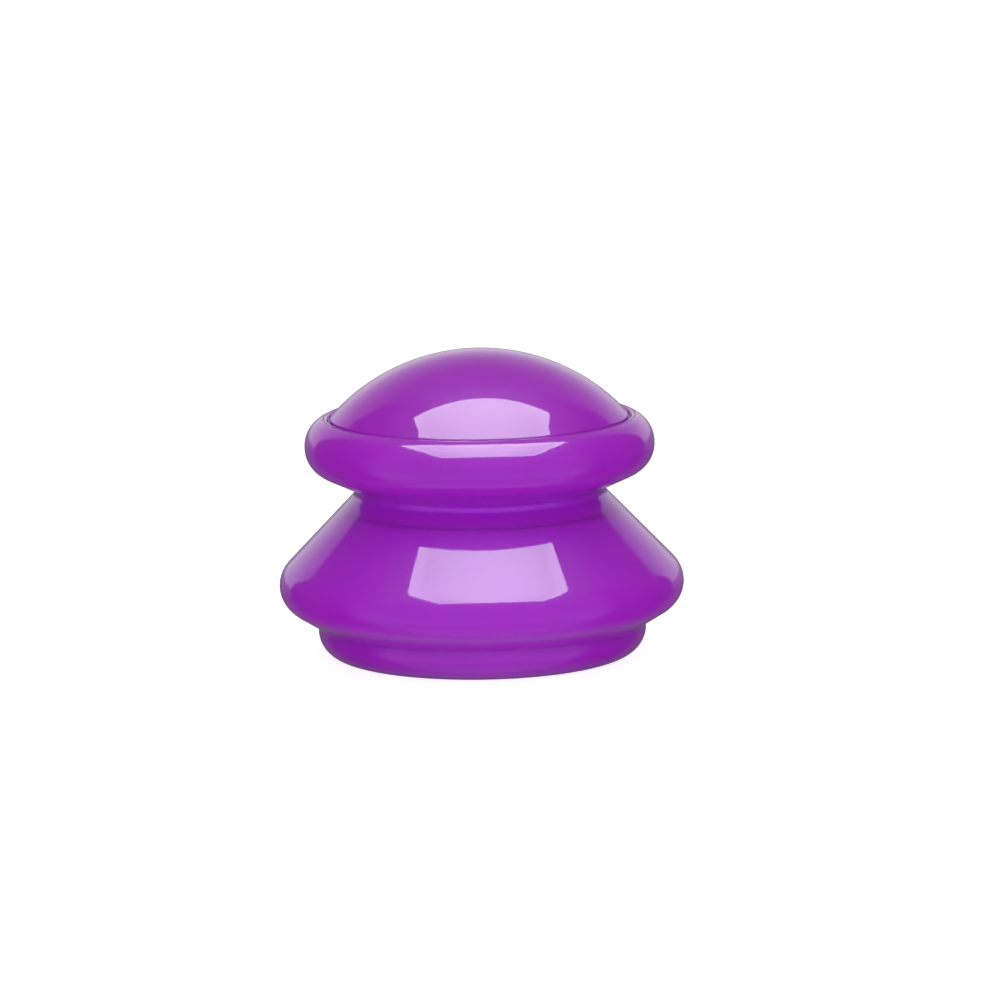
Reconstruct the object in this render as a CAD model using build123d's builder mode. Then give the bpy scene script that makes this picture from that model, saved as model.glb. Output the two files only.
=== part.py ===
from build123d import *
import os
from math import acos, atan2, degrees, tan

os.makedirs("parts", exist_ok=True)

# A silicone cupping cup: one hollow moulding, turned about Z, that stands on its mouth at z = 0.
# Its wall is drawn once as a half section and cut at the lines where the silicone flexes, so that
# each zone is a node of its own.  All sizes are in millimetres.

# ---- Overall sizes ------------------------------------------------------------------------------
shoulder_radius = 29.0     # the widest ring of the bell
bell_height = 24.2         # from the mouth plane to where the cone ends, at the bottom of the neck notch

# ---- Mouth lip ----------------------------------------------------------------------------------
lip_radius = 23.5          # outside of the lip
lip_inner_radius = 18.2    # the mouth
lip_height = 4.7           # up to the crease under the shoulder
lip_outer_round = 3.9
lip_inner_round = 0.8
crease_round = 0.5

# ---- Bell: shoulder and cone --------------------------------------------------------------------
shoulder_height = 10.45    # level of the widest ring
shoulder_round = 4.25
wall = 2.4
inner_round = 1.0          # rounding of the corners inside the hollow
round_share = 0.49         # the most of a straight stretch that one rounding takes

# ---- Neck ---------------------------------------------------------------------------------------
neck_radius = 17.5         # the bottom of the notch between the cone and the collar's underside
neck_wall = 1.15           # there, before its rounding
neck_height = 2.1          # from there to the level where the collar begins
neck_round = 0.8
fold_band_height = 4.7     # the stretch below the collar that folds when the head is pressed down
lean_band_height = 4.8     # the stretch below it that bends when the head leans over

# ---- Collar, the grip ring ----------------------------------------------------------------------
collar_radius = 25.05
collar_height = 8.5
collar_wall = 2.4
underside_rise = 3.5       # the underside climbs this much from the neck out to the rim
collar_lower_round = 4.15
collar_upper_round = 4.15  # the groove cuts into this round, which leaves the crest
collar_inner_round = 1.0
crest_round = 0.45

# ---- Groove round the dome and the thin fold under it -------------------------------------------
groove_outer_radius = 21.7
groove_width = 0.4
groove_depth = 1.1         # below the level of the bead's top
groove_round = 0.15
fold_thickness = 1.45

# ---- Dome ---------------------------------------------------------------------------------------
dome_foot_drop = 0.2       # the dome's curve ends this far below the bead's top
dome_rise = 9.5            # from the end of the curve to the top
dome_wall = 2.4
dome_foot_round = 0.3
press_clearance = 0.85     # the pressed part of the dome passes inside the neck with this gap


def touch_point(start, centre, radius, side):
    """Where the line from start touches the circle; side is +1 or -1."""
    away = Vector(*start) - Vector(*centre)
    turn = Vector(away.X, away.Y).rotate(Axis.Z, side * degrees(acos(radius / away.length)))
    return Vector(*centre) + turn.normalized() * radius


def at_radius(start, direction, radius):
    """The point of the line through start that lies at this radius."""
    return start + direction * ((radius - start.X) / direction.X)


# ---- Places that follow from the sizes ----------------------------------------------------------
shoulder_centre = (shoulder_radius - shoulder_round, shoulder_height)
crease = (lip_radius, lip_height)
neck_corner = (neck_radius, bell_height)
under_shoulder = touch_point(crease, shoulder_centre, shoulder_round, 1)
top_of_shoulder = touch_point(neck_corner, shoulder_centre, shoulder_round, -1)

inward_below = (Vector(*shoulder_centre) - under_shoulder).normalized() * wall
inward_above = (Vector(*shoulder_centre) - top_of_shoulder).normalized() * wall
inner_crease = at_radius(under_shoulder + inward_below, under_shoulder - Vector(*crease), lip_inner_radius)
neck_inner_radius = neck_radius - neck_wall
inner_neck_corner = at_radius(
    top_of_shoulder + inward_above, Vector(*neck_corner) - top_of_shoulder, neck_inner_radius
)

collar_bottom = bell_height + neck_height
collar_top = collar_bottom + collar_height
groove_inner_radius = groove_outer_radius - groove_width
groove_floor = collar_top - groove_depth
fold_underside = groove_floor - fold_thickness
fold_radius = groove_outer_radius - groove_width / 2
collar_inner_radius = collar_radius - collar_wall
collar_floor = collar_bottom + collar_wall

bead_round = min(collar_upper_round, round_share * collar_height)
bead_centre = (collar_radius - bead_round, collar_top - bead_round)
crest_angle = acos(max(groove_outer_radius - bead_centre[0], 0) / bead_round)
bead_end = Vector(*bead_centre) + Vector(bead_round, 0).rotate(Axis.Z, degrees(crest_angle))
crest = Vector(groove_outer_radius, bead_end.Y)
bead_flat = [bead_end] if groove_outer_radius < bead_centre[0] else []     # inside a narrow groove
bead_middle = Vector(*bead_centre) + Vector(bead_round, 0).rotate(Axis.Z, degrees(crest_angle / 2))

dome_foot_height = collar_top - dome_foot_drop
overall_height = dome_foot_height + dome_rise
press_radius = neck_inner_radius - press_clearance
dome_curve = (dome_rise**2 + groove_inner_radius**2) / (2 * dome_rise)
dome_centre = overall_height - dome_curve
dome_inner_curve = dome_curve - dome_wall
dome_inner_foot = (dome_inner_curve**2 - (fold_underside - dome_centre) ** 2) ** 0.5

rim = (collar_radius, bell_height + underside_rise)
rim_lean = atan2(collar_radius - neck_radius, underside_rise)
rim_curve = min(collar_lower_round, 2 * round_share * (bead_centre[1] - rim[1]) / tan(rim_lean / 2))
neck_curve = min(neck_round, round_share * neck_height)

fold_ledge = collar_inner_radius - dome_inner_foot
hollow_height = fold_underside - collar_floor
hollow_round = min(collar_inner_round, round_share * hollow_height, round_share * fold_ledge)
foot_round = min(inner_round, round_share * fold_ledge)

fold_band_bottom = collar_bottom - fold_band_height
lean_band_bottom = fold_band_bottom - lean_band_height
head_split = (collar_floor + fold_underside) / 2
reach = shoulder_radius + collar_radius     # wider than any ring

# ---- Half section of the whole wall, radius along X and height along Y ----------------------------
with BuildSketch() as wall_section:
    with BuildLine():
        Polyline((lip_inner_radius, 0), (lip_radius, 0), crease, under_shoulder)
        ThreePointArc(under_shoulder, (shoulder_radius, shoulder_height), top_of_shoulder)
        Polyline(
            top_of_shoulder,
            neck_corner,
            rim,
            (collar_radius, collar_top - bead_round),
        )
        ThreePointArc((collar_radius, collar_top - bead_round), bead_middle, bead_end)
        Polyline(
            *bead_flat,
            crest,
            (groove_outer_radius, groove_floor),
            (groove_inner_radius, groove_floor),
            (groove_inner_radius, dome_foot_height),
        )
        RadiusArc((groove_inner_radius, dome_foot_height), (0, overall_height), -dome_curve)
        Line((0, overall_height), (0, overall_height - dome_wall))
        RadiusArc((0, overall_height - dome_wall), (dome_inner_foot, fold_underside), dome_inner_curve)
        Polyline(
            (dome_inner_foot, fold_underside),
            (collar_inner_radius, fold_underside),
            (collar_inner_radius, collar_floor),
            (neck_inner_radius, collar_floor),
            inner_neck_corner,
            top_of_shoulder + inward_above,
        )
        ThreePointArc(
            top_of_shoulder + inward_above,
            (shoulder_radius - wall, shoulder_height),
            under_shoulder + inward_below,
        )
        Polyline(under_shoulder + inward_below, inner_crease, (lip_inner_radius, 0))
    make_face()

    roundings = [
        ((lip_radius, 0), lip_outer_round),
        ((lip_inner_radius, 0), lip_inner_round),
        (crease, crease_round),
        (inner_crease, inner_round),
        (neck_corner, neck_curve),
        (inner_neck_corner, inner_round),
        ((neck_inner_radius, collar_floor), inner_round),
        (rim, rim_curve),
        ((collar_inner_radius, collar_floor), hollow_round),
        ((collar_inner_radius, fold_underside), hollow_round),
        (crest, crest_round),
        ((groove_outer_radius, groove_floor), groove_round),
        ((groove_inner_radius, groove_floor), groove_round),
        ((groove_inner_radius, dome_foot_height), dome_foot_round),
        ((dome_inner_foot, fold_underside), foot_round),
    ]
    for corner, radius in roundings:
        fillet(wall_section.vertices().sort_by_distance(Vector(*corner))[0], radius)


def zone(inner, low, outer, high):
    """Keep the part of the wall between two radii and two levels, in the sketch being drawn."""
    add(wall_section.sketch_local)
    with Locations((inner, low)):
        Rectangle(outer - inner, high - low, align=(Align.MIN, Align.MIN), mode=Mode.INTERSECT)


# ---- Bell: stands on the skin or the table --------------------------------------------------------
with BuildPart() as mouth_lip:
    with BuildSketch(Plane.XZ):
        zone(0, 0, reach, lip_height)
    revolve(axis=Axis.Z)

with BuildPart() as shoulder_ring:
    with BuildSketch(Plane.XZ):
        zone(0, lip_height, reach, top_of_shoulder.Y)
    revolve(axis=Axis.Z)

with BuildPart() as cone_wall:
    with BuildSketch(Plane.XZ):
        zone(0, top_of_shoulder.Y, reach, lean_band_bottom)
    revolve(axis=Axis.Z)

# ---- Waist: two bands that bend and fold between the bell and the collar --------------------------
with BuildPart() as neck_root:
    with BuildSketch(Plane.XZ):
        zone(0, lean_band_bottom, reach, fold_band_bottom)
    revolve(axis=Axis.Z)

with BuildPart() as neck_band:
    with BuildSketch(Plane.XZ):
        zone(0, fold_band_bottom, reach, collar_bottom)
    revolve(axis=Axis.Z)

# ---- Head: the grip collar, the fold in its groove and the dome ------------------------------------
with BuildPart() as grip_collar:
    with BuildSketch(Plane.XZ):
        zone(0, collar_bottom, reach, overall_height)
        with Locations((0, head_split)):
            Rectangle(fold_radius, overall_height, align=(Align.MIN, Align.MIN), mode=Mode.SUBTRACT)
    revolve(axis=Axis.Z)

with BuildPart() as dome_fold:
    with BuildSketch(Plane.XZ):
        zone(press_radius, head_split, fold_radius, overall_height)
    revolve(axis=Axis.Z)

with BuildPart() as press_dome:
    with BuildSketch(Plane.XZ):
        zone(0, head_split, press_radius, overall_height)
    revolve(axis=Axis.Z)

# ---- One file per node ------------------------------------------------------------------------------
nodes = {
    "mouth_lip": mouth_lip,
    "shoulder_ring": shoulder_ring,
    "cone_wall": cone_wall,
    "neck_root": neck_root,
    "neck_band": neck_band,
    "grip_collar": grip_collar,
    "dome_fold": dome_fold,
    "press_dome": press_dome,
}
for name, node in nodes.items():
    node.part.label = name
    export_step(node.part, f"parts/{name}.step")
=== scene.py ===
from math import acos, atan2, ceil, cos, pi, radians, sin, tan

import bpy
from mathutils import Matrix, Vector


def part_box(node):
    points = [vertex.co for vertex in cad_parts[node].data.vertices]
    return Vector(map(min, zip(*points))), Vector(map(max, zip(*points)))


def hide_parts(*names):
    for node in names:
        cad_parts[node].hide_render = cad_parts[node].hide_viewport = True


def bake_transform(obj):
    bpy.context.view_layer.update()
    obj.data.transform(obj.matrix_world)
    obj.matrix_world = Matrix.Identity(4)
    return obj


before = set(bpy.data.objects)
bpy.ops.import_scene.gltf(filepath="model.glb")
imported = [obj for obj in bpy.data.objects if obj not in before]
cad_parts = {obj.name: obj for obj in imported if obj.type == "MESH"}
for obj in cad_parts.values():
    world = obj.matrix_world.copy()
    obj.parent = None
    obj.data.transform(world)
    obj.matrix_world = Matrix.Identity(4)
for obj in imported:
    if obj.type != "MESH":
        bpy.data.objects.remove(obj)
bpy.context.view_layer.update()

MM = 0.001
SEGMENTS = 256             # round the axis
ARC_STEP = radians(5)
ROW_STEP = 0.4 * MM        # along the outline, close enough for the skin to bend
ON_AXIS = 0.0001 * MM      # nearer to the axis than this is on it

# ---- Sizes of the moulding, from the frame's boxes ---------------------------------------------
LIP_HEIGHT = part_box("mouth_lip")[1].z
SHOULDER_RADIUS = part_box("shoulder_ring")[1].x
FOLD_BAND_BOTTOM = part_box("neck_band")[0].z
COLLAR_LOW, COLLAR_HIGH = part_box("grip_collar")
COLLAR_BOTTOM, COLLAR_RADIUS = COLLAR_LOW.z, COLLAR_HIGH.x
FOLD_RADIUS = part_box("dome_fold")[1].x
DOME_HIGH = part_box("press_dome")[1]
PRESS_RADIUS, TOP = DOME_HIGH.x, DOME_HIGH.z

# ---- Sizes that the boxes don't give -------------------------------------------------------------
WALL = 2.4 * MM
INNER_ROUND = 1.0 * MM      # the corners inside the hollow
LIP_RADIUS = 23.5 * MM
LIP_INNER_RADIUS = 18.2 * MM
LIP_OUTER_ROUND = 3.9 * MM
LIP_INNER_ROUND = 0.8 * MM
CREASE_ROUND = 0.5 * MM     # under the shoulder
SHOULDER_HEIGHT = 10.45 * MM
SHOULDER_ROUND = 4.25 * MM
NECK_RADIUS = 17.5 * MM
NECK_WALL = 1.15 * MM
NECK_HEIGHT = 24.2 * MM
NECK_ROUND = 0.8 * MM
UNDERSIDE_RISE = 3.5 * MM
BEAD_HEIGHT = 8.5 * MM
BEAD_ROUND = 4.15 * MM
CREST_ROUND = 0.45 * MM
GROOVE_WIDTH = 0.4 * MM
GROOVE_DEPTH = 1.1 * MM
GROOVE_ROUND = 0.15 * MM
FOLD_THICKNESS = 1.45 * MM
DOME_FOOT_DROP = 0.2 * MM
DOME_FOOT_ROUND = 0.3 * MM
OUTER_FOOT_TURN = 0.06      # radians of the dome's outer and inner curves left for their foot's rounding
INNER_FOOT_TURN = 0.05


def on_circle(centre, radius, angle):
    return centre[0] + radius * cos(angle), centre[1] + radius * sin(angle)


def touch_point(start, centre, radius, side):
    """Where the line from start touches the circle; side is +1 or -1."""
    dx, dy = start[0] - centre[0], start[1] - centre[1]
    angle = atan2(dy, dx) + side * acos(radius / (dx * dx + dy * dy) ** 0.5)
    return on_circle(centre, radius, angle)


def arc(centre, radius, first, last):
    """Points of an arc, angles in radians, both ends included."""
    turn = abs(last - first)
    count = max(2, ceil(turn / ARC_STEP), ceil(turn * radius / ROW_STEP))
    return [on_circle(centre, radius, first + (last - first) * i / count) for i in range(count + 1)]


def rounded(before, corner, after, radius):
    """The arc that rounds a corner between two straight stretches."""
    c = Vector(corner)
    u = (Vector(before) - c).normalized()
    v = (Vector(after) - c).normalized()
    half = u.angle(v) / 2
    centre = c + (u + v).normalized() * (radius / sin(half))
    first = c + u * (radius / tan(half)) - centre
    last = c + v * (radius / tan(half)) - centre
    a = atan2(first.y, first.x)
    turn = (atan2(last.y, last.x) - a + pi) % (2 * pi) - pi
    return arc(centre, radius, a, a + turn)


def outline(corners):
    """A line through (radius, height, rounding) corners; a rounding of 0 keeps the point."""
    points = []
    for i, (r, z, rounding) in enumerate(corners):
        if rounding:
            points += rounded(corners[i - 1][:2], (r, z), corners[i + 1][:2], rounding)
        else:
            points.append((r, z))
    return points


def with_rows(points):
    """The same line, with rows close enough together for the skin to bend."""
    out = [points[0]]
    for a, b in zip(points, points[1:]):
        length = ((b[0] - a[0]) ** 2 + (b[1] - a[1]) ** 2) ** 0.5
        if length < 1e-9:
            continue
        n = ceil(length / ROW_STEP)
        out += [(a[0] + (b[0] - a[0]) * i / n, a[1] + (b[1] - a[1]) * i / n) for i in range(1, n + 1)]
    return out


# ---- The wall's outline, from the inside of the mouth round to the outside --------------------------
shoulder_centre = (SHOULDER_RADIUS - SHOULDER_ROUND, SHOULDER_HEIGHT)
crease = (LIP_RADIUS, LIP_HEIGHT)
neck_corner = (NECK_RADIUS, NECK_HEIGHT)
under_shoulder = touch_point(crease, shoulder_centre, SHOULDER_ROUND, 1)
top_of_shoulder = touch_point(neck_corner, shoulder_centre, SHOULDER_ROUND, -1)
under_angle = atan2(under_shoulder[1] - shoulder_centre[1], under_shoulder[0] - shoulder_centre[0])
top_angle = atan2(top_of_shoulder[1] - shoulder_centre[1], top_of_shoulder[0] - shoulder_centre[0])
neck_inner_radius = NECK_RADIUS - NECK_WALL
shoulder_inner_round = SHOULDER_ROUND - WALL


def inside_shoulder(angle):
    """A point of the shoulder's inner face."""
    return on_circle(shoulder_centre, shoulder_inner_round, angle)


def at_radius(start, a, b, radius):
    """The point at this radius on the line through start that runs from a to b."""
    slope = (b[1] - a[1]) / (b[0] - a[0])
    return radius, start[1] + slope * (radius - start[0])


inner_crease = at_radius(inside_shoulder(under_angle), crease, under_shoulder, LIP_INNER_RADIUS)
inner_neck = at_radius(inside_shoulder(top_angle), top_of_shoulder, neck_corner, neck_inner_radius)

collar_top = COLLAR_BOTTOM + BEAD_HEIGHT
groove_outer = FOLD_RADIUS + GROOVE_WIDTH / 2
groove_inner = FOLD_RADIUS - GROOVE_WIDTH / 2
groove_floor = collar_top - GROOVE_DEPTH
bead_centre = (COLLAR_RADIUS - BEAD_ROUND, collar_top - BEAD_ROUND)
crest_angle = acos((groove_outer - bead_centre[0]) / BEAD_ROUND)
fold_underside = groove_floor - FOLD_THICKNESS
collar_floor = COLLAR_BOTTOM + WALL
collar_inner = COLLAR_RADIUS - WALL
dome_foot = collar_top - DOME_FOOT_DROP
dome_rise = TOP - dome_foot
dome_curve = (dome_rise**2 + groove_inner**2) / (2 * dome_rise)
dome_centre = (0, TOP - dome_curve)
dome_start = atan2(dome_foot - dome_centre[1], groove_inner)
dome_inner_curve = dome_curve - WALL
inner_foot_r = (dome_inner_curve**2 - (fold_underside - dome_centre[1]) ** 2) ** 0.5
inner_start = atan2(fold_underside - dome_centre[1], inner_foot_r)

slope = (neck_corner[1] - top_of_shoulder[1]) / (neck_corner[0] - top_of_shoulder[0])


def cone_radius(height, through):
    """Radius of the straight cone at a height, on the outer or the inner face."""
    return through[0] + (height - through[1]) / slope


def bell_outline():
    """From the cone's inner face down round the lip and up to the top of the cone's outer face."""
    return with_rows(
        [(cone_radius(FOLD_BAND_BOTTOM, inner_neck), FOLD_BAND_BOTTOM)]
        + arc(shoulder_centre, shoulder_inner_round, top_angle, under_angle)
        + outline(
            [
                (*inside_shoulder(under_angle), 0),
                (*inner_crease, INNER_ROUND),
                (LIP_INNER_RADIUS, 0, LIP_INNER_ROUND),
                (LIP_RADIUS, 0, LIP_OUTER_ROUND),
                (*crease, CREASE_ROUND),
                (*under_shoulder, 0),
            ]
        )
        + arc(shoulder_centre, SHOULDER_ROUND, under_angle, top_angle)
        + [(cone_radius(FOLD_BAND_BOTTOM, neck_corner), FOLD_BAND_BOTTOM)]
    )


def head_outlines():
    """The waist and the collar: inside from the fold's foot down, outside from the cone up."""
    inner = outline(
        [
            (FOLD_RADIUS, fold_underside, 0),
            (collar_inner, fold_underside, INNER_ROUND),
            (collar_inner, collar_floor, INNER_ROUND),
            (neck_inner_radius, collar_floor, INNER_ROUND),
            (*inner_neck, INNER_ROUND),
            (cone_radius(FOLD_BAND_BOTTOM, inner_neck), FOLD_BAND_BOTTOM, 0),
        ]
    )
    outer = outline(
        [
            (cone_radius(FOLD_BAND_BOTTOM, neck_corner), FOLD_BAND_BOTTOM, 0),
            (*neck_corner, NECK_ROUND),
            (COLLAR_RADIUS, NECK_HEIGHT + UNDERSIDE_RISE, BEAD_ROUND),
            (COLLAR_RADIUS, bead_centre[1], 0),
        ]
    )
    bead = arc(bead_centre, BEAD_ROUND, 0, crest_angle - CREST_ROUND / BEAD_ROUND)
    groove = outline(
        [
            (*bead[-1], 0),
            (*on_circle(bead_centre, BEAD_ROUND, crest_angle), CREST_ROUND),
            (groove_outer, groove_floor, GROOVE_ROUND),
            (FOLD_RADIUS, groove_floor, 0),
        ]
    )
    return with_rows(inner), with_rows(outer + bead + groove)


def dome_outer_outline():
    """From the middle of the groove's floor up to the top of the dome."""
    first = dome_start + OUTER_FOOT_TURN
    foot = outline(
        [
            (FOLD_RADIUS, groove_floor, 0),
            (groove_inner, groove_floor, GROOVE_ROUND),
            (groove_inner, dome_foot, DOME_FOOT_ROUND),
            (*on_circle(dome_centre, dome_curve, first), 0),
        ]
    )
    return with_rows(foot + arc(dome_centre, dome_curve, first, pi / 2))


def dome_inner_outline():
    """From under the top of the dome down to the underside of the fold."""
    last = inner_start + INNER_FOOT_TURN
    foot = outline(
        [
            (*on_circle(dome_centre, dome_inner_curve, last), 0),
            (inner_foot_r, fold_underside, INNER_ROUND),
            (FOLD_RADIUS, fold_underside, 0),
        ]
    )
    return with_rows(arc(dome_centre, dome_inner_curve, pi / 2, last) + foot)


def turned(name, *outlines):
    """A skin turned about Z from one or more lines; the silicone is on the left of each line."""
    verts, faces = [], []
    for line in outlines:
        rings = []
        for r, z in line:
            if r < ON_AXIS:
                rings.append([len(verts)])
                verts.append((0, 0, z))
                continue
            rings.append(list(range(len(verts), len(verts) + SEGMENTS)))
            for j in range(SEGMENTS):
                a = 2 * pi * j / SEGMENTS
                verts.append((r * cos(a), r * sin(a), z))
        for low, high in zip(rings, rings[1:]):
            for j in range(SEGMENTS):
                k = (j + 1) % SEGMENTS
                if len(low) == 1:
                    faces.append((low[0], high[k], high[j]))
                elif len(high) == 1:
                    faces.append((low[j], low[k], high[0]))
                else:
                    faces.append((low[j], low[k], high[k], high[j]))
    mesh = bpy.data.meshes.new(name)
    mesh.from_pydata(verts, [], faces)
    mesh.polygons.foreach_set("use_smooth", [True] * len(faces))
    mesh.update()
    obj = bpy.data.objects.new(name, mesh)
    bpy.context.collection.objects.link(obj)
    return obj


# ---- Material ---------------------------------------------------------------------------------------
def silicone():
    """Clear violet silicone: tinted and cloudy inside, with the gloss of a polished mould."""
    mat = bpy.data.materials.new("violet_silicone")
    mat.use_nodes = True
    nodes, links = mat.node_tree.nodes, mat.node_tree.links
    shader = nodes["Principled BSDF"]
    shader.inputs["Roughness"].default_value = 0.4
    shader.inputs["IOR"].default_value = 1.41
    shader.inputs["Specular IOR Level"].default_value = 0.03
    shader.inputs["Subsurface Weight"].default_value = 1.0
    shader.inputs["Subsurface Radius"].default_value = (1.0, 0.35, 1.0)
    shader.inputs["Subsurface Scale"].default_value = 0.004
    shader.inputs["Transmission Weight"].default_value = 0.15
    shader.inputs["Coat Weight"].default_value = 1.0
    shader.inputs["Coat Roughness"].default_value = 0.03
    shader.inputs["Coat IOR"].default_value = 1.41

    where = nodes.new("ShaderNodeTexCoord")
    cloud = nodes.new("ShaderNodeTexNoise")
    cloud.inputs["Scale"].default_value = 90
    cloud.inputs["Detail"].default_value = 3
    links.new(where.outputs["Object"], cloud.inputs["Vector"])
    tint = nodes.new("ShaderNodeMix")
    tint.data_type = "RGBA"
    tint.inputs["A"].default_value = (0.36, 0.012, 0.53, 1)
    tint.inputs["B"].default_value = (0.42, 0.016, 0.60, 1)
    links.new(cloud.outputs["Fac"], tint.inputs["Factor"])
    links.new(tint.outputs["Result"], shader.inputs["Base Color"])

    ripple = nodes.new("ShaderNodeTexNoise")
    ripple.inputs["Scale"].default_value = 60
    ripple.inputs["Detail"].default_value = 1
    links.new(where.outputs["Object"], ripple.inputs["Vector"])
    bump = nodes.new("ShaderNodeBump")
    bump.inputs["Strength"].default_value = 0.05
    bump.inputs["Distance"].default_value = 0.0006
    links.new(ripple.outputs["Fac"], bump.inputs["Height"])
    links.new(bump.outputs["Normal"], shader.inputs["Normal"])
    links.new(bump.outputs["Normal"], shader.inputs["Coat Normal"])
    return mat


skin_material = silicone()


def skin(name, *outlines):
    obj = turned(name, *outlines)
    obj.data.materials.append(skin_material)
    return obj


bell = skin("bell_skin", bell_outline())
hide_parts("mouth_lip", "shoulder_ring", "cone_wall", "neck_root")
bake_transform(bell)

head = skin("head_skin", *head_outlines())
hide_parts("neck_band", "grip_collar")
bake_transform(head)


dome_outer = skin("dome_outer_skin", dome_outer_outline())
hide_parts("dome_fold", "press_dome")
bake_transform(dome_outer)

dome_inner = skin("dome_inner_skin", dome_inner_outline())
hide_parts("dome_fold", "press_dome")
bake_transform(dome_inner)


# ---- Stage --------------------------------------------------------------------------------------------
def math_node(nodes, links, operation, first, second=0.0):
    """A Math node; each input is a socket or a number. Gives its output socket."""
    node = nodes.new("ShaderNodeMath")
    node.operation = operation
    for socket, value in zip(node.inputs, (first, second)):
        if isinstance(value, bpy.types.NodeSocket):
            links.new(value, socket)
        else:
            socket.default_value = value
    return node.outputs["Value"]


def plain_material(name, colour, roughness=0.6):
    mat = bpy.data.materials.new(name)
    mat.use_nodes = True
    shader = mat.node_tree.nodes["Principled BSDF"]
    shader.inputs["Base Color"].default_value = (*colour, 1)
    shader.inputs["Roughness"].default_value = roughness
    return mat


def glow_material(name, strength, hollow=0.0):
    """A light's face; hollow is how much dimmer its left and right edges are than its middle."""
    mat = bpy.data.materials.new(name)
    mat.use_nodes = True
    nodes, links = mat.node_tree.nodes, mat.node_tree.links
    nodes.clear()
    glow = nodes.new("ShaderNodeEmission")
    glow.inputs["Strength"].default_value = strength
    out = nodes.new("ShaderNodeOutputMaterial")
    links.new(glow.outputs["Emission"], out.inputs["Surface"])
    if hollow:
        where = nodes.new("ShaderNodeUVMap")
        split = nodes.new("ShaderNodeSeparateXYZ")
        links.new(where.outputs["UV"], split.inputs["Vector"])
        square = math_node(nodes, links, "POWER", split.outputs["X"], 2.0)
        drop = math_node(nodes, links, "MULTIPLY", square, -hollow * strength)
        level = math_node(nodes, links, "ADD", drop, strength)
        links.new(level, glow.inputs["Strength"])
    return mat


def panel(name, centre, across, along, material):
    """A flat rectangle; across and along are its half sides as vectors."""
    mesh = bpy.data.meshes.new(name)
    c, u, v = Vector(centre), Vector(across), Vector(along)
    mesh.from_pydata([c - u - v, c + u - v, c + u + v, c - u + v], [], [(0, 1, 2, 3)])
    mesh.materials.append(material)
    uv = mesh.uv_layers.new(name="UVMap")      # runs from -1 to 1 across the panel
    for loop, place in zip(uv.data, ((-1, -1), (1, -1), (1, 1), (-1, 1))):
        loop.uv = place
    obj = bpy.data.objects.new(name, mesh)
    bpy.context.collection.objects.link(obj)
    return obj


def disc(name, radius, height, material, count=48):
    """A flat round panel that faces up."""
    mesh = bpy.data.meshes.new(name)
    ring = [(*on_circle((0, 0), radius, 2 * pi * i / count), height) for i in range(count)]
    mesh.from_pydata(ring, [], [tuple(range(count))])
    mesh.materials.append(material)
    obj = bpy.data.objects.new(name, mesh)
    bpy.context.collection.objects.link(obj)
    return obj


def light_panel(name, centre, across, along, strength, gloss=True, fill=False, hollow=0.0):
    """A glowing panel out of the picture: seen in the gloss, lighting the colour, or both."""
    obj = panel(name, centre, across, along, glow_material(name, strength, hollow))
    obj.visible_camera = False
    obj.visible_shadow = False
    obj.visible_glossy = gloss
    obj.visible_diffuse = fill
    obj.visible_transmission = fill
    obj.visible_volume_scatter = False
    return obj


def table_material():
    """Matt white paper; the lit table under it lifts it to white where the camera sees it."""
    mat = plain_material("floor_paper", (0.6, 0.6, 0.61))
    nodes, links = mat.node_tree.nodes, mat.node_tree.links
    glow = nodes.new("ShaderNodeEmission")
    glow.inputs["Strength"].default_value = 0.72
    shader = nodes["Principled BSDF"]
    shader.inputs["Emission Color"].default_value = (1, 1, 1, 1)
    shader.inputs["Emission Strength"].default_value = 0.1
    both = nodes.new("ShaderNodeAddShader")
    mix = nodes.new("ShaderNodeMixShader")
    path = nodes.new("ShaderNodeLightPath")
    links.new(nodes["Principled BSDF"].outputs["BSDF"], both.inputs[0])
    links.new(glow.outputs["Emission"], both.inputs[1])
    links.new(path.outputs["Is Camera Ray"], mix.inputs["Fac"])
    links.new(nodes["Principled BSDF"].outputs["BSDF"], mix.inputs[1])
    links.new(both.outputs["Shader"], mix.inputs[2])
    links.new(mix.outputs["Shader"], nodes["Material Output"].inputs["Surface"])
    return mat


floor = panel("floor", (0, 0, 0), (6, 0, 0), (0, 6, 0), table_material())
floor.visible_glossy = False

# Two lights inside the hollow, one in the mouth and one in the neck, glow through the thin walls
under_glow = disc("under_glow", 15 * MM, 0.3 * MM, glow_material("under_glow", 3.0))
neck_glow = disc("neck_glow", 10 * MM, 21 * MM, glow_material("neck_glow", 9.0))
for glow in (under_glow, neck_glow):
    glow.visible_camera = False
    glow.visible_glossy = False
    glow.visible_shadow = False

# Softbox above and in front: a diffuser with a brighter rim and brighter side strips
BOX_YAW = radians(4.5)
BOX_TILT = radians(12)
BOX_HALF_WIDTH, BOX_HALF_LENGTH = 0.195, 0.1845
FACE_STRENGTH = 10.4
FACE_HOLLOW = 0.32
FILL_STRENGTH = 1.12
RIM = 0.017                # half the width of the bright strips along the face's edges
RIM_STRENGTH = 9.4
box_yaw = Matrix.Rotation(BOX_YAW, 3, "Z")
box_centre = Vector((0.020, -0.1005, 0.348))
box_across = box_yaw @ Vector((BOX_HALF_WIDTH, 0, 0))
box_along = box_yaw @ (Matrix.Rotation(BOX_TILT, 3, "X") @ Vector((0, BOX_HALF_LENGTH, 0)))
light_panel("softbox_face", box_centre, box_across, box_along, FACE_STRENGTH, hollow=FACE_HOLLOW)
light_panel("softbox_fill", box_centre, box_across, box_along, FILL_STRENGTH, gloss=False, fill=True)
lift = Vector((0, 0, -0.001))       # holds the strips just below the face
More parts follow.
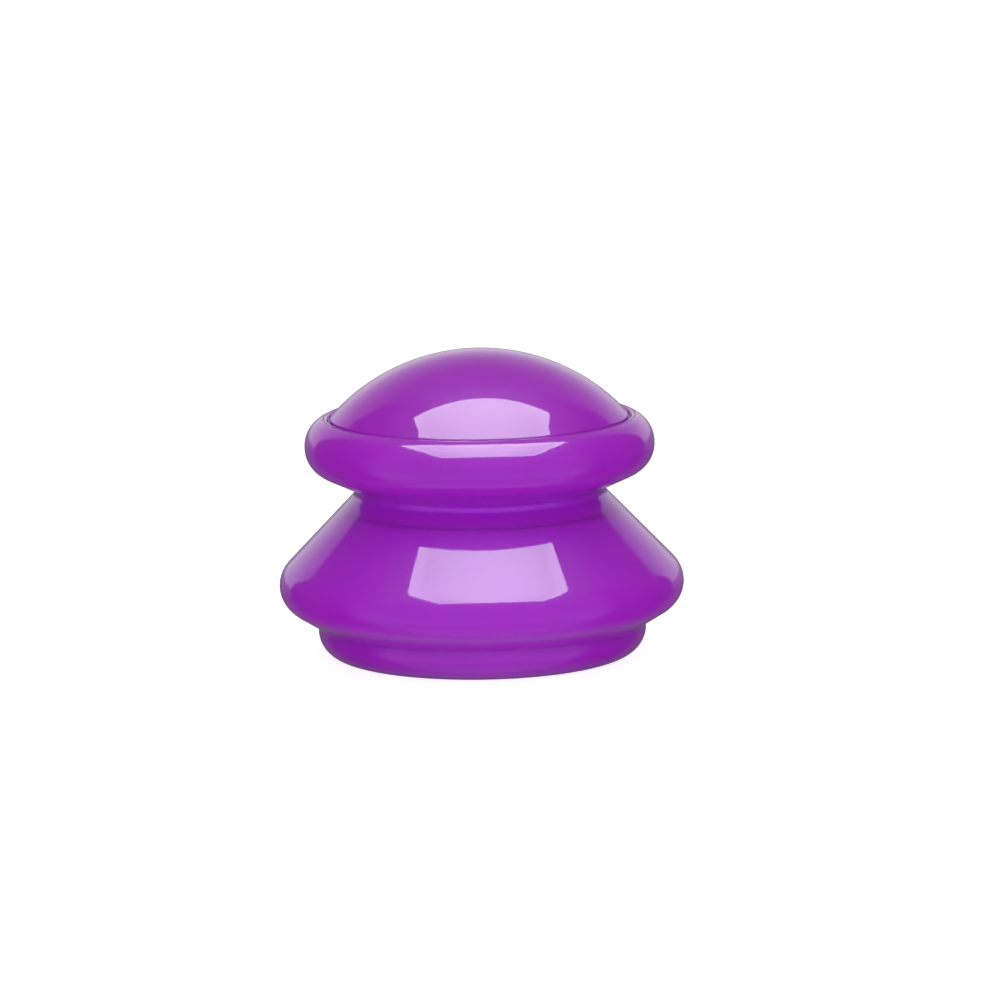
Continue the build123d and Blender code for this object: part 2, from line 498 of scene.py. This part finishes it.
for side in (-1, 1):
    light_panel(
        "softbox_side",
        box_centre + box_across * side * (1 - RIM / box_across.length) + lift,
        box_across.normalized() * RIM,
        box_along,
        RIM_STRENGTH,
    )
    light_panel(
        "softbox_end",
        box_centre + box_along * side * (1 - RIM / box_along.length) + lift,
        box_across,
        box_along.normalized() * RIM,
        RIM_STRENGTH,
    )

FRONT_STRENGTH = 3.2
light_panel("front_fill", (0, -0.8, 0.2), (0.5, 0, 0), (0, 0, 0.2), FRONT_STRENGTH, gloss=False, fill=True)


def grey_ramp(nodes, links, value, low, high, stops):
    """A level that goes through (place, level) stops as value goes from low to high."""
    place = nodes.new("ShaderNodeMapRange")
    place.inputs["From Min"].default_value = low
    place.inputs["From Max"].default_value = high
    links.new(value, place.inputs["Value"])
    ramp = nodes.new("ShaderNodeValToRGB")
    top = max(level for _, level in stops)
    for i, (at, level) in enumerate(stops):
        spot = (at - low) / (high - low)
        element = ramp.color_ramp.elements[i] if i < 2 else ramp.color_ramp.elements.new(spot)
        element.position = spot
        element.color = (level / top, level / top, level / top, 1)
    links.new(place.outputs["Result"], ramp.inputs["Fac"])
    return math_node(nodes, links, "MULTIPLY", ramp.outputs["Color"], top)


ROOM_FILL = 0.6


def studio_world():
    """White where the camera looks past the floor, an even fill for the colour, and for the gloss
    a dark room with a white sweep behind the object, pale walls in front and the lit table below.
    """
    world = bpy.data.worlds.new("studio")
    world.use_nodes = True
    nodes, links = world.node_tree.nodes, world.node_tree.links
    nodes.clear()
    path = nodes.new("ShaderNodeLightPath")
    out = nodes.new("ShaderNodeOutputWorld")

    where = nodes.new("ShaderNodeTexCoord")
    split = nodes.new("ShaderNodeSeparateXYZ")
    links.new(where.outputs["Generated"], split.inputs["Vector"])
    rise = math_node(nodes, links, "ARCSINE", split.outputs["Z"])
    bearing = math_node(nodes, links, "ARCTAN2", split.outputs["X"], split.outputs["Y"])
    turn = math_node(nodes, links, "ABSOLUTE", bearing)

    # Stops are (degrees above the level, or away from straight behind; brightness there)
    def by_rise(*stops):
        spots = [(radians(degrees_up), level) for degrees_up, level in stops]
        return grey_ramp(nodes, links, rise, -pi / 2, pi / 2, spots)

    def by_turn(*stops):
        return grey_ramp(nodes, links, turn, 0, pi, [(radians(d), level) for d, level in stops])

    sweep_rise = by_rise(
        (-12, 0.1), (-1, 0.3), (3, 1.0), (13, 1.0), (21, 0.75), (30, 0.5), (44, 0.25), (66, 0.2)
    )
    sweep = math_node(nodes, links, "MULTIPLY", sweep_rise, by_turn((0, 1), (40, 1), (43, 0)))
    walls_rise = by_rise((-60, 0.5), (-44, 0.55), (-27, 1.0), (-10, 0.65), (14, 0.5), (45, 0.5))
    walls = math_node(nodes, links, "MULTIPLY", walls_rise, by_turn((95, 0), (110, 1)))
    sides = by_rise((-70, 0.5), (-40, 0.07), (60, 0.07), (80, 0.4))
    level = math_node(nodes, links, "ADD", math_node(nodes, links, "ADD", sweep, walls), sides)

    def background(strength):
        node = nodes.new("ShaderNodeBackground")
        if isinstance(strength, bpy.types.NodeSocket):
            links.new(strength, node.inputs["Strength"])
        else:
            node.inputs["Strength"].default_value = strength
        return node.outputs["Background"]

    def mixed(fac, first, second):
        node = nodes.new("ShaderNodeMixShader")
        for socket, source in zip(node.inputs, (fac, first, second)):
            links.new(source, socket)
        return node.outputs["Shader"]

    lit = mixed(path.outputs["Is Glossy Ray"], background(ROOM_FILL), background(level))
    links.new(mixed(path.outputs["Is Camera Ray"], lit, background(1.0)), out.inputs["Surface"])
    return world


bpy.context.scene.world = studio_world()

# ---- Camera ---------------------------------------------------------------------------------------------
VIEW_WIDTH = 143.77363 * MM         # what the picture spans at the object
AIM_UP = 21.889212 * MM             # the picture's centre, from the centre of the mouth
AIM_RIGHT = 2.8726 * MM
SENSOR_WIDTH = 36                   # in the camera's own millimetres
DISTANCE = 1.149
ELEVATION = radians(9.75)
ROLL = radians(0.9)

back = Vector((0, -cos(ELEVATION), sin(ELEVATION)))
right = Vector((1, 0, 0))
up = Vector((0, sin(ELEVATION), cos(ELEVATION)))
target = up * AIM_UP + right * AIM_RIGHT
cam_data = bpy.data.cameras.new("camera")
cam_data.sensor_width = SENSOR_WIDTH
cam_data.lens = SENSOR_WIDTH * DISTANCE / VIEW_WIDTH
cam_data.clip_start = 0.05
camera = bpy.data.objects.new("camera", cam_data)
bpy.context.collection.objects.link(camera)
axes = Matrix((right, up, back)).transposed() @ Matrix.Rotation(-ROLL, 3, "Z")
camera.matrix_world = Matrix.Translation(target + back * DISTANCE) @ axes.to_4x4()
bpy.context.scene.camera = camera
bpy.context.scene.view_settings.view_transform = "Standard"
